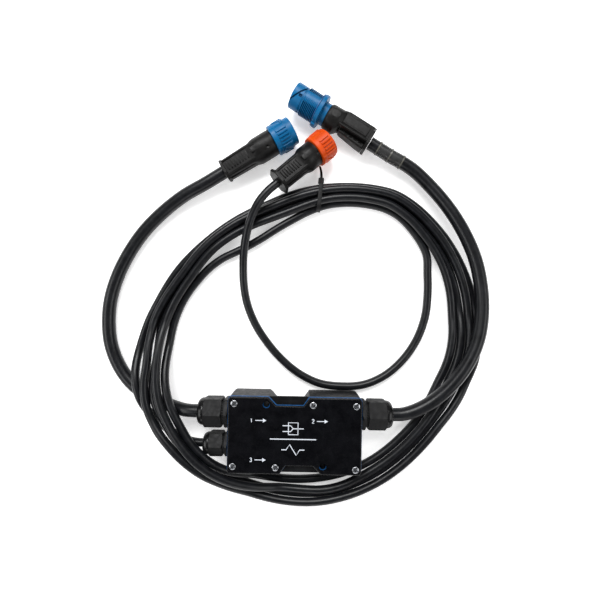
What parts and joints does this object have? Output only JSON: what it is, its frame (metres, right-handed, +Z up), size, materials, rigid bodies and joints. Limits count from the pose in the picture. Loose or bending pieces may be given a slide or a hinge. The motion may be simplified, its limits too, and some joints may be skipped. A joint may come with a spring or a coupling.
{
  "type": "trailer brake junction box",
  "caption": "Flat sealed junction box with glanded black cables ending in blue and orange bayonet connectors, one cable coiled and tied.",
  "frame": {"origin": "middle of the box's underside, on the surface that the object lies on", "axes": "+X along the box's long side towards the single outlet gland, +Y towards the connectors, +Z up out of the cover"},
  "size_m": [0.4286, 0.4673, 0.0428],
  "materials": {
    "housing": "fine moulded texture, near black",
    "cover": "satin black plate",
    "silicone": "blue silicone",
    "zinc": "bright zinc plate",
    "board": "green solder mask",
    "terminal": "green moulding",
    "relay_black": "black moulding",
    "capacitor_can": "sleeved aluminium can",
    "gland_black": "matte polyamide",
    "seal_rubber": "black sealing rubber",
    "cable_black": "smooth sheathing, slightly glossy",
    "shell_black": "fine moulded texture",
    "blue_plastic": "smooth blue moulding",
    "orange_plastic": "smooth orange moulding",
    "contact_brass": "plated contacts",
    "clear_film": "clear shrink film"
  },
  "bodies": {
    "box": {"blue_plug_barrel": "blue_plastic", "blue_plug_clamp": "shell_black", "blue_plug_gasket": "seal_rubber", "blue_plug_insert": "contact_brass", "blue_plug_shell": "shell_black", "blue_socket_carrier": "blue_plastic", "blue_socket_seal": "seal_rubber", "blue_socket_shell": "shell_black", "board_screw_1": "zinc", "board_screw_2": "zinc", "board_screw_3": "zinc", "board_screw_4": "zinc", "cable_tie": "seal_rubber", "capacitor": "capacitor_can", "circuit_board": "board", "controller_chip": "relay_black", "cover_plate": "cover", "cover_screw_1": "zinc", "cover_screw_2": "zinc", "cover_screw_3": "zinc", "cover_screw_4": "zinc", "cover_screw_5": "zinc", "cover_screw_6": "zinc", "gasket": "silicone", "housing_base": "housing", "inlet_cable": "cable_black", "inlet_gland_body": "gland_black", "inlet_gland_locknut": "gland_black", "inlet_gland_seal": "seal_rubber", "inlet_gland_washer": "seal_rubber", "label_sleeve": "clear_film", "orange_socket_carrier": "orange_plastic", "orange_socket_seal": "seal_rubber", "orange_socket_shell": "shell_black", "outlet_cable": "cable_black", "outlet_gland_body": "gland_black", "outlet_gland_locknut": "gland_black", "outlet_gland_seal": "seal_rubber", "outlet_gland_washer": "seal_rubber", "relay": "relay_black", "terminal_block_inlet": "terminal", "terminal_block_outlet": "terminal", "terminal_block_warning": "terminal", "warning_cable_coil": "cable_black", "warning_cable_lead_in": "cable_black", "warning_cable_loop": "cable_black", "warning_gland_body": "gland_black", "warning_gland_locknut": "gland_black", "warning_gland_seal": "seal_rubber", "warning_gland_washer": "seal_rubber"},
    "blue_ring": {"blue_socket_coupling_ring": "blue_plastic"},
    "orange_ring": {"orange_socket_coupling_ring": "orange_plastic"},
    "inlet_gland_nut_body": {"inlet_gland_nut": "gland_black"},
    "outlet_gland_nut_body": {"outlet_gland_nut": "gland_black"},
    "warning_gland_nut_body": {"warning_gland_nut": "gland_black"}
  },
  "joints": [
    {"name": "blue_ring_turn", "type": "hinge", "parent": "box", "child": "blue_ring", "pos_m": [-0.02369, 0.31883, 0.01832], "axis": [0.8516, 0.5219, 0.0489], "range_deg": [0, 60]},
    {"name": "orange_ring_turn", "type": "hinge", "parent": "box", "child": "orange_ring", "pos_m": [0.02136, 0.30805, 0.01969], "axis": [0.7376, 0.6641, -0.1219], "range_deg": [0, 60]},
    {"name": "inlet_gland_nut_turn", "type": "hinge", "parent": "box", "child": "inlet_gland_nut_body", "pos_m": [-0.09, 0.0185, 0.021], "axis": [-1, 0, 0], "range_deg": [0, 180]},
    {"name": "outlet_gland_nut_turn", "type": "hinge", "parent": "box", "child": "outlet_gland_nut_body", "pos_m": [0.09, 0.0185, 0.021], "axis": [1, 0, 0], "range_deg": [0, 180]},
    {"name": "warning_gland_nut_turn", "type": "hinge", "parent": "box", "child": "warning_gland_nut_body", "pos_m": [-0.087, -0.016, 0.021], "axis": [-1, 0, 0], "range_deg": [0, 180]}
  ]
}
